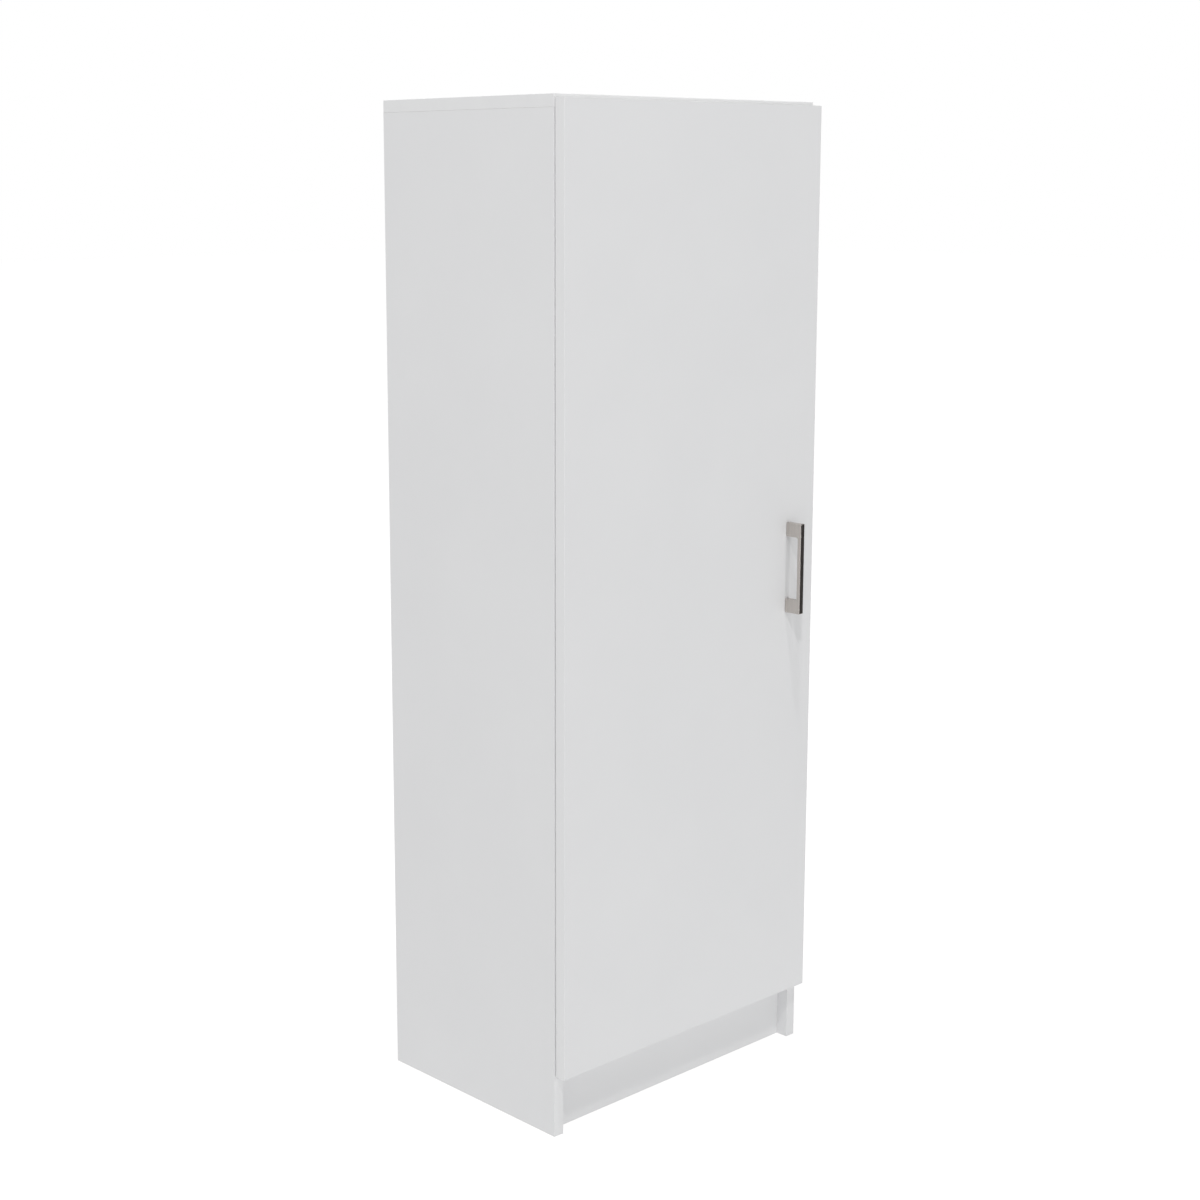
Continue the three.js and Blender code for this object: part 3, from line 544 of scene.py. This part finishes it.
makeBoard("door", "door_panel", "door", 1, ["x-", "x+", "z-", "z+"], hingeBores())

# Back: two hardboard sheets, white inside and bare outside, and the strip that joins them
sheetEdge = {"round": 0.0003, "segments": 2, "facing": 0.9}
stripEdge = {"round": 0.0003, "segments": 2, "angle": 38}


def makeSheet(name, node):
    low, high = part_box(node)
    sheet = addBlock(name, low, high)
    bevelWhere(sheet, lambda a, b: True, sheetEdge["round"], sheetEdge["segments"])
    sheet.data.materials.append(lacquer)
    sheet.data.materials.append(hardboard)
    for face in sheet.data.polygons:
        face.material_index = 0 if face.normal.y < -sheetEdge["facing"] else 1
    return hand(sheet, "carcase", [node])


def makeStrip():
    strip = paint(copyCad("back_joint_strip", "backStrip"), stripPlastic)
    bevelSharp(strip, stripEdge["round"], stripEdge["segments"], stripEdge["angle"])
    return hand(strip, "carcase", ["back_joint_strip"])


makeSheet("backLower", "back_panel_lower")
makeSheet("backUpper", "back_panel_upper")
makeStrip()
print("door and back made")


# Handle: a block whose front is rounded at its ends and on the left, with a window cut through it
handleShape = {
    "window": 0.105, "bar": 0.0063, "slimmer": 0.0008, "standOff": 0.00026, "corner": 0.0016,
    "cornerSteps": 5, "fillet": 0.003, "filletSteps": 6, "round": 0.0008, "roundSteps": 3, "smoothAngle": 35,
}


def makeHandle():
    h = handleShape
    low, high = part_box("door_handle")
    seat = high.y - h["standOff"]
    side = low.x + h["slimmer"]
    body = addBlock("handle", (side, low.y, low.z), (high.x, seat, high.z))
    onFront = low.y + tiny
    bevelWhere(body, lambda a, b: max(a.y, b.y) < onFront and (abs(a.x - b.x) > tiny or a.x < side + tiny),
               h["corner"], h["cornerSteps"])
    middle = (low.z + high.z) / 2
    inner = low.y + h["bar"]
    window = addBlock("window", (low.x - past, inner, middle - h["window"] / 2),
                      (high.x + past, seat + past, middle + h["window"] / 2))
    bevelWhere(window, lambda a, b: a.y < inner + tiny and b.y < inner + tiny and abs(a.x - b.x) > tiny,
               h["fillet"], h["filletSteps"])
    cutAway(body, [window])
    bevelSharp(body, h["round"], h["roundSteps"])
    return hand(paint(body, nickel), "door", ["door_handle"], h["smoothAngle"])


makeHandle()

# Screws: a domed head with a cross, its dome in shares of the radius and down the height of its edge
screwShape = {"edge": 0.45, "dome": ((0.9, 0.45), (0.7, 0.12), (0.45, 0)), "sides": 28,
              "crossReach": 0.55, "crossDepth": 0.0012, "crossWidth": 0.0009}


def cutCross(piece, top, reach, depth, width):
    for x, y in ((reach, width / 2), (width / 2, reach)):
        cutAway(piece, [addBlock("crossArm", (-x, -y, top - depth), (x, y, top + depth))])


def makeScrew(shape):
    s = screwShape
    radius, height = shape["screwRadius"], shape["screwHeight"]
    edge = height * s["edge"]
    profile = [(radius, 0), (radius, height - edge)]
    profile += [(radius * across, height - edge * down) for across, down in s["dome"]]
    screw = addTurned("screw", profile, s["sides"])
    cutCross(screw, height, radius * s["crossReach"], s["crossDepth"], s["crossWidth"])
    return paint(screw, steel)


# Shelf pins
pinShape = {"radius": 0.0025, "inBoard": 0.006, "collar": 0.0036, "collarFront": 0.0003, "collarBack": 0.0015,
            "reach": 0.0083, "round": 0.0004, "sides": 24}


def makePins():
    p = pinShape
    softCollar = p["collar"] - p["round"]
    profile = [(p["radius"], -p["inBoard"]), (p["radius"], p["collarFront"]),
               (p["collar"] - p["round"] / 2, p["collarFront"]),
               (p["collar"], p["collarFront"] + p["round"] / 2), (p["collar"], p["collarBack"] - p["round"]),
               (softCollar, p["collarBack"]), (p["radius"], p["collarBack"]),
               (p["radius"], p["reach"] - p["round"]), (p["radius"] - p["round"], p["reach"])]
    places = []
    for number in (1, 2):
        for row in rows:
            for side, face, axis in (("left", dividerHigh.x, "x"), ("right", rightLow.x, "-x")):
                node = f"shelf_{number}_pin_{row}_{side}"
                name = f"pin{number}{row.title()}{side.title()}"
                places.append((name, faceSpot(node, face, axis), axis, [node]))
    handCopies(paint(addTurned("pin", profile, p["sides"]), steel), places, "carcase")


makePins()

# Cam fittings: a cast drum with a cross for the driver
camShape = {"radius": 0.0075, "sunk": 0.0003, "depth": 0.0112, "round": 0.0005, "rim": 0.0011,
            "rimDrop": 0.0004, "rimSlope": 0.0003, "dishShare": 0.4, "sides": 40,
            "crossReach": 0.6325, "crossDepth": 0.0024, "crossWidth": 0.0016}


def makeCams():
    c = camShape
    inner = c["radius"] - c["rim"]
    profile = [(c["radius"] - c["round"], -c["depth"]), (c["radius"], c["round"] - c["depth"]),
               (c["radius"], -c["round"]), (c["radius"] - c["round"], 0), (inner, 0),
               (inner - c["rimSlope"], -c["rimDrop"]), (inner * c["dishShare"], -c["rimDrop"])]
    drum = addTurned("cam", profile, c["sides"])
    cutCross(drum, 0, c["radius"] * c["crossReach"], c["crossDepth"], c["crossWidth"])
    places = []
    for corner, face, axis in (("top_left", leftHigh.x, "x"), ("top_right", rightLow.x, "-x"),
                               ("bottom_left", floorLow.z, "-z"), ("bottom_right", floorLow.z, "-z")):
        for row in rows:
            node = f"{corner}_{row}_cam"
            places.append(("cam_" + node, faceSpot(node, face, axis, c["sunk"]), axis, [node]))
    handCopies(paint(drum, zinc), places, "carcase")


makeCams()

# Handle screws and bumpers on the door's back
handleScrewShape = {"screwRadius": 0.0042, "screwHeight": 0.0024}
bumperShape = {"base": 0.004, "side": 0.0003, "sides": 36, "smoothAngle": 50,
               "dome": ((0.0037, 0.0005), (0.0028, 0.00063), (0.0015, 0.00069), (0.0004, 0.0007))}
ends = ("lower", "upper")


def makeHandleScrews():
    places = []
    for end in ends:
        node = f"handle_screw_{end}"
        places.append((f"handleScrew{end.title()}", faceSpot(node, doorHigh.y, "y"), "y", [node]))
    handCopies(makeScrew(handleScrewShape), places, "door")


def makeBumpers():
    b = bumperShape
    profile = [(b["base"], 0), (b["base"], b["side"]), *b["dome"]]
    places = []
    for end in ends:
        node = f"door_bumper_{end}"
        places.append((f"bumper{end.title()}", faceSpot(node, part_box(node)[0].y, "y"), "y", [node]))
    pad = paint(addTurned("bumper", profile, b["sides"]), rubber)
    handCopies(pad, places, "door", b["smoothAngle"])


makeHandleScrews()
makeBumpers()
print("small fittings made")


# Hinges: the plates are copies of their solids, and the rest is modelled at height 0 and copied to each
# level, with pivots and bends across and along the cupboard from the side board's face and the door's back
sideFace, carcaseFront = leftHigh.x, leftLow.y
doorLeft, doorBack = doorLow.x, doorHigh.y
pivots = {
    "arm": (sideFace + 0.027, carcaseFront + 0.015), "nose": (sideFace + 0.00975, carcaseFront - 0.008),
    "cup": (doorLeft + 0.00745, doorBack - 0.0028), "cupDeep": (doorLeft + 0.00992, doorBack - 0.00768),
    "eye": (doorLeft + 0.0091, doorBack - 0.0083),
}
bends = {
    "short": (sideFace + 0.003, carcaseFront - 0.0117), "longNear": (sideFace + 0.002, carcaseFront - 0.0023),
    "longFar": (doorLeft + 0.0124, doorBack - 0.0048),
}
pivotPin = {"arm": 0.0015, "cup": 0.0011, "play": 0.0003, "cupPlay": 0.00025, "chamfer": 0.0003,
            "chamferShare": 0.25, "sides": 28}
strapSteps = 14
eyeSides = 32
linkEdge = {"round": 0.00022, "segments": 2}
shortLinkShape = {"halfThick": 0.00115, "halfWide": 0.0031, "backEye": 0.0029, "eye": 0.0037, "hole": 0.00255,
                  "holeSides": 32}
longLinkShape = {"halfWide": 0.002, "backEye": 0.0034, "eye": 0.00235, "inside": 0.0049, "outside": 0.0061,
                 "holeSides": 24}
armShape = {
    "nose": 0.0032, "heel": 0.0038, "foot": 0.0034, "height": 0.014, "wall": 0.0012, "cheekRun": 0.0096,
    "step": 0.029, "back": 0.063, "inside": 0.0034, "outside": 0.0046, "webFromNose": 0.007, "clear": 0.0005,
    "noseSteps": 16, "heelSteps": 14, "heelTurn": 120, "holeSides": 28, "merge": 0.0001, "round": 0.00028,
    "segments": 2, "adjusterAt": 0.033, "clampAt": 0.054, "screwRadius": 0.0033, "screwHeight": 0.0012,
}
plateShape = {"round": 0.00025, "segments": 2, "screwRise": 0.0022, "screwAt": 0.037, "screwAside": 0.016,
              "screwRadius": 0.0042, "screwHeight": 0.0016}


def arc(middle, radius, start, end, steps):
    angles = [start + (end - start) * i / steps for i in range(steps + 1)]
    return [(middle[0] + radius * math.cos(a), middle[1] + radius * math.sin(a)) for a in angles]


def addOutline(name, points, bottom, top):
    deselectAll()
    bpy.ops.mesh.primitive_circle_add(vertices=len(points), radius=1, fill_type="NGON",
                                      location=(0, 0, bottom))
    piece = bpy.context.object
    piece.name = name
    for vertex, (x, y) in zip(piece.data.vertices, points):
        vertex.co = (x, y, 0)
    bpy.ops.object.transform_apply(location=True)
    bpy.ops.object.mode_set(mode="EDIT")
    bpy.ops.mesh.select_all(action="SELECT")
    bpy.ops.mesh.extrude_region_move(TRANSFORM_OT_translate={"value": (0, 0, top - bottom)})
    bpy.ops.mesh.select_all(action="SELECT")
    bpy.ops.mesh.normals_make_consistent(inside=False)
    bpy.ops.object.mode_set(mode="OBJECT")
    return piece


def addDisc(name, middle, radius, bottom, top, sides=eyeSides):
    return addTurned(name, [(radius, bottom), (radius, top)], sides, (*middle, 0))


def cutHole(piece, middle, radius, bottom, top, sides):
    cutAway(piece, [addDisc("hole", middle, radius, bottom - past, top + past, sides)])


def unite(name, parts):
    piece = parts[0]
    for other in parts[1:]:
        applyModifier(piece, "BOOLEAN", operation="UNION", object=other, solver="EXACT")
        bpy.data.objects.remove(other)
    piece.name = name
    return piece


def strapRuns(points, half, bottom, top):
    runs = []
    quarter = math.pi / 2
    for a, b in zip(points, points[1:]):
        along = math.atan2(b[1] - a[1], b[0] - a[0])
        outline = arc(a, half, along + quarter, along + 3 * quarter, strapSteps)
        outline += arc(b, half, along - quarter, along + quarter, strapSteps)
        runs.append(addOutline("run", outline, bottom, top))
    return runs


def pinBar(middle, radius, bottom, top):
    chamfer = min(radius * pivotPin["chamferShare"], pivotPin["chamfer"])
    profile = [(radius - chamfer, bottom), (radius, bottom + chamfer),
               (radius, top - chamfer), (radius - chamfer, top)]
    return addTurned("pinBar", profile, pivotPin["sides"], (*middle, 0))


def handLevels(model, name, node, body):
    places = []
    for level in levels:
        at = (0, 0, hingePlace(level)[2])
        places.append((name + level.title(), at, "z", [f"{node}_{level}"]))
    handCopies(paint(model, hingeSteel), places, body)


def handScrews(shape, spots, axis, body):
    places = []
    for level in levels:
        z = hingePlace(level)[2]
        for name, (x, y, rise) in spots.items():
            places.append((name.format(level.title()), (x, y, z + rise), axis, ()))
    handCopies(makeScrew(shape), places, body)


def makeCups():
    c = cupShape
    x, y = hingePlace("middle")[:2]
    inside = c["radius"] - c["wall"]
    curve = c["round"]
    bend = curve * c["bendShare"]
    floor = c["wall"] - c["depth"]
    profile = [(c["radius"] - curve, -c["depth"]), (c["radius"] - bend, bend - c["depth"]),
               (c["radius"], curve - c["depth"]), (c["radius"], -c["flange"]),
               (c["ring"] - c["ringEdge"], -c["flange"]), (c["ring"], -c["flange"] * c["ringShare"]),
               (c["ring"], -c["lip"]), (c["ring"] - c["lip"], 0), (inside + c["mouth"], 0),
               (inside, -c["mouth"]), (inside, floor + curve), (inside - curve + bend, floor + bend),
               (inside - curve, floor)]
    bowl = addTurned("bowl", profile, c["sides"], (x, y, 0), "y")
    ears = earBlock("ears", c, (x, y, 0), c["flange"])
    bevelSharp(ears, c["lip"], c["lipSteps"])
    clear = c["ring"] - c["earUnderRing"]
    room = addTurned("room", [(clear, -c["flange"] - past), (clear, past)], c["sides"], (x, y, 0), "y")
    cutAway(ears, [room])
    reaches = {pivot: math.sqrt(inside ** 2 - (x - pivots[pivot][0]) ** 2) + c["wall"] / 2
               for pivot in ("cup", "cupDeep")}
    start = longLinkShape["inside"] - pivotPin["play"] / 2
    pins = [pinBar(pivots["cupDeep"], pivotPin["cup"], -reaches["cupDeep"], reaches["cupDeep"]),
            pinBar(pivots["cup"], pivotPin["cup"], start, reaches["cup"]),
            pinBar(pivots["cup"], pivotPin["cup"], -reaches["cup"], -start)]
    handLevels(joinAll("cup", [bowl, ears, *pins]), "hingeCup", "hinge_cup", "door")
    at = (x + c["screwOffset"], y - c["screwSunk"])
    half = c["screwSpacing"] / 2
    handScrews(c, {"cupScrew{}1": (*at, -half), "cupScrew{}2": (*at, half)}, "y", "door")


def makeShortLinks():
    s = shortLinkShape
    bottom, top = -s["halfWide"], s["halfWide"]
    link = unite("shortLink", [
        *strapRuns([pivots["nose"], bends["short"], pivots["eye"]], s["halfThick"], bottom, top),
        addDisc("eye", pivots["nose"], s["backEye"], bottom, top),
        addDisc("eye", pivots["eye"], s["eye"], bottom, top)])
    cutHole(link, pivots["nose"], pivotPin["arm"] + pivotPin["play"], bottom, top, s["holeSides"])
    cutHole(link, pivots["eye"], s["hole"], bottom, top, s["holeSides"])
    bevelSharp(link, linkEdge["round"], linkEdge["segments"])
    handLevels(link, "shortLink", "hinge_inner_link", "inner_links")


def makeLongLinks():
    s = longLinkShape
    bottom, top = s["inside"], s["outside"]
    points = [pivots["arm"], bends["longNear"], bends["longFar"], pivots["cup"]]
    plate = unite("plate", [
        *strapRuns(points, s["halfWide"], bottom, top),
        addDisc("eye", pivots["arm"], s["backEye"], bottom, top),
        addDisc("eye", pivots["cup"], s["eye"], bottom, top)])
    cutHole(plate, pivots["cup"], pivotPin["cup"] + pivotPin["cupPlay"], bottom, top, s["holeSides"])
    bevelSharp(plate, linkEdge["round"], linkEdge["segments"])
    lower = duplicate(plate, "plate")
    lower.location.z = -(bottom + top)
    settle(lower)
    rivet = pinBar(pivots["arm"], pivotPin["arm"], -top, top)
    handLevels(joinAll("longLink", [plate, lower, rivet]), "longLink", "hinge_outer_link", "outer_links")


def makeArms():
    a = armShape
    nose, heel = pivots["nose"], pivots["arm"]
    span = math.dist(nose, heel)
    along = ((heel[0] - nose[0]) / span, (heel[1] - nose[1]) / span)
    out = (along[1], -along[0])
    turn = math.atan2(out[1], out[0])
    foot, crest = sideFace + a["foot"], sideFace + a["height"]
    back = carcaseFront + a["back"]
    step = carcaseFront + a["step"]
    heelEnd = turn + math.radians(a["heelTurn"])
    outline = [(foot, back), (foot, nose[1] + a["cheekRun"])]
    outline += arc(nose, a["nose"], math.pi, turn + 2 * math.pi, a["noseSteps"])
    outline += arc(heel, a["heel"], turn, heelEnd, a["heelSteps"])
    outline += [(crest, step), (crest, back)]
    clear = a["nose"] + a["clear"]
    web = [n + t * a["webFromNose"] for n, t in zip(nose, along)]
    webIn = a["nose"] - a["wall"]
    hollow = [(foot - a["clear"], back + a["clear"]), (foot - a["clear"], nose[1] - clear),
              (nose[0] + out[0] * clear, nose[1] - clear), (web[0] + out[0] * clear, web[1] + out[1] * clear),
              (web[0] + out[0] * webIn, web[1] + out[1] * webIn)]
    hollow += arc(heel, a["heel"] - a["wall"], turn, heelEnd, a["heelSteps"])
    hollow += [(crest - a["wall"], step), (crest - a["wall"], back + a["clear"])]
    arm = addOutline("arm", outline, -a["outside"], a["outside"])
    cutAway(arm, [addOutline("hollow", hollow, -a["inside"], a["inside"])])
    cutHole(arm, heel, pivotPin["arm"] + pivotPin["play"], -a["outside"], a["outside"], a["holeSides"])
    mergeClose(arm, a["merge"])  # points that lie this close would stop the rounding below
    bevelSharp(arm, a["round"], a["segments"])
    pin = pinBar(nose, pivotPin["arm"], -a["outside"], a["outside"])
    handLevels(joinAll("arm", [arm, pin]), "hingeArm", "hinge_arm", "carcase")
    spots = {"adjuster{}": (crest, carcaseFront + a["adjusterAt"], 0),
             "clampScrew{}": (crest, carcaseFront + a["clampAt"], 0)}
    handScrews(a, spots, "x", "carcase")


def makePlates():
    p = plateShape
    for level in levels:
        node = f"hinge_plate_{level}"
        plate = copyCad(node, "hingePlate" + level.title())
        bevelSharp(plate, p["round"], p["segments"])
        hand(paint(plate, hingeSteel), "carcase", [node])
    at = (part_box("hinge_plate_middle")[0].x + p["screwRise"], carcaseFront + p["screwAt"])
    spots = {"plateScrew{}1": (*at, -p["screwAside"]), "plateScrew{}2": (*at, p["screwAside"])}
    handScrews(p, spots, "x", "carcase")


makeCups()
makeShortLinks()
makeLongLinks()
makeArms()
makePlates()
print("hinges made")

# Hidden bolts and dowels keep their own solids
for node, piece in frame["nodes"].items():
    if node.endswith("_bolt"):
        paint(piece, steel)
    elif "dowel" in node:
        paint(piece, beech)

# Studio: a pale floor, and a dark card at the side that only reflections see
floorLook = {"colour": (0.3, 0.3, 0.3), "darker": 0.99, "grainScale": 40, "roughness": 0.9, "seen": 0.86,
             "glow": 0.565, "size": (60, 60), "drop": 0.0005}
cardLook = {"colour": (0.01, 0.01, 0.01), "at": (1.15, -1.2, 1.0), "size": (2.4, 2.0), "turn": 45}


def addPlane(name, at, size, turn, finish):
    deselectAll()
    bpy.ops.mesh.primitive_plane_add(size=1, location=at, rotation=turn)
    plane = bpy.context.object
    plane.name = name
    plane.scale = (*size, 1)
    paint(plane, finish)
    return plane


def floorMaterial(look):
    material, nodes, links, shader, mapping = startMaterial("paleFloor", {})
    tone = addNoise(nodes, links, mapping, look["grainScale"], noiseDetail["grain"])
    low = tuple(v * look["darker"] for v in look["colour"])
    links.new(addRamp(nodes, links, tone, noiseSpan, (low, look["colour"])), shader.inputs["Base Color"])
    shader.inputs["Roughness"].default_value = look["roughness"]
    shader.inputs["Specular IOR Level"].default_value = 0.0
    shader.inputs["Emission Color"].default_value = white
    path = nodes.new("ShaderNodeLightPath")
    glow = nodes.new("ShaderNodeMapRange")  # the floor lights the object less than it shows
    glow.inputs["To Min"].default_value = look["glow"]
    glow.inputs["To Max"].default_value = look["seen"]
    links.new(path.outputs["Is Camera Ray"], glow.inputs["Value"])
    links.new(glow.outputs["Result"], shader.inputs["Emission Strength"])
    return material


def cardMaterial(look):
    material, nodes, links, shader, mapping = startMaterial("darkCard", {})
    shader.inputs["Base Color"].default_value = (*look["colour"], 1)
    shader.inputs["Roughness"].default_value = 1.0
    shader.inputs["Specular IOR Level"].default_value = 0.0
    return material


def addCard(look):
    turn = (math.pi / 2, 0, math.radians(look["turn"]))
    card = addPlane("darkCard", look["at"], look["size"], turn, cardMaterial(look))
    card.visible_camera = False
    card.visible_diffuse = False
    card.visible_shadow = False
    card.visible_transmission = False


addPlane("floor", (0, 0, -floorLook["drop"]), floorLook["size"], (0, 0, 0), floorMaterial(floorLook))
addCard(cardLook)

# The camera sees a white backdrop; the light that falls on the object leans to its left and back
studio = {"seen": 1.0, "fill": 0.485, "lean": (-0.13, 0.1, 0)}


def makeWorld(look):
    world = bpy.data.worlds.new("whiteStudio")
    world.use_nodes = True
    nodes, links = world.node_tree.nodes, world.node_tree.links
    fill = nodes["Background"]
    where = nodes.new("ShaderNodeTexCoord")
    lean = nodes.new("ShaderNodeVectorMath")
    lean.operation = "DOT_PRODUCT"
    lean.inputs[1].default_value = look["lean"]
    links.new(where.outputs["Generated"], lean.inputs[0])
    strength = nodes.new("ShaderNodeMath")
    strength.inputs[1].default_value = look["fill"]
    links.new(lean.outputs["Value"], strength.inputs[0])
    links.new(strength.outputs["Value"], fill.inputs["Strength"])
    fill.inputs["Color"].default_value = white
    seen = nodes.new("ShaderNodeBackground")
    seen.inputs["Color"].default_value = white
    seen.inputs["Strength"].default_value = look["seen"]
    path = nodes.new("ShaderNodeLightPath")
    either = nodes.new("ShaderNodeMixShader")
    links.new(path.outputs["Is Camera Ray"], either.inputs[0])
    links.new(fill.outputs[0], either.inputs[1])
    links.new(seen.outputs[0], either.inputs[2])
    links.new(either.outputs[0], nodes["World Output"].inputs["Surface"])
    bpy.context.scene.world = world


makeWorld(studio)

lights = {
    "keyLight": {"at": (-3.36, -3.3, 6.5), "to": (0, -0.2, 0.8), "size": (0.3, 0.3), "power": 104},
    "topLight": {"at": (-1.22, -1.55, 9), "to": (0, -0.2, 0.8), "size": (0.3, 0.3), "power": 175},
    "frontLight": {"at": (0.2, -4.6, 1.0), "to": (0.2, 0, 0.8), "size": (0.35, 2.0), "power": 22},
}


def addLight(name, look):
    deselectAll()
    bpy.ops.object.light_add(type="AREA", location=look["at"])
    light = bpy.context.object
    light.name = name
    light.data.shape = "RECTANGLE"
    light.data.size, light.data.size_y = look["size"]
    light.data.energy = look["power"]
    aim = [b - a for a, b in zip(look["at"], look["to"])]
    flat = math.hypot(aim[0], aim[1])
    light.rotation_euler = (math.atan2(flat, -aim[2]), 0, math.atan2(aim[1], aim[0]) - math.pi / 2)
    light.visible_camera = False


for name, look in lights.items():
    addLight(name, look)

view = {"at": (-2.3446, -2.3563, 1.4864), "turn": (79.771, 0.067, -43.127), "lens": 61.5738, "sensor": 36,
        "shift": (0.04203, -0.04645), "nearest": 0.05, "farthest": 100}


def addCamera(look):
    deselectAll()
    bpy.ops.object.camera_add(location=look["at"], rotation=[math.radians(v) for v in look["turn"]])
    camera = bpy.context.object
    camera.data.lens = look["lens"]
    camera.data.shift_x, camera.data.shift_y = look["shift"]
    camera.data.sensor_width = look["sensor"]
    camera.data.clip_start = look["nearest"]
    camera.data.clip_end = look["farthest"]
    return camera


bpy.context.scene.camera = addCamera(view)
bpy.context.scene.view_settings.view_transform = "Standard"
print("studio made")
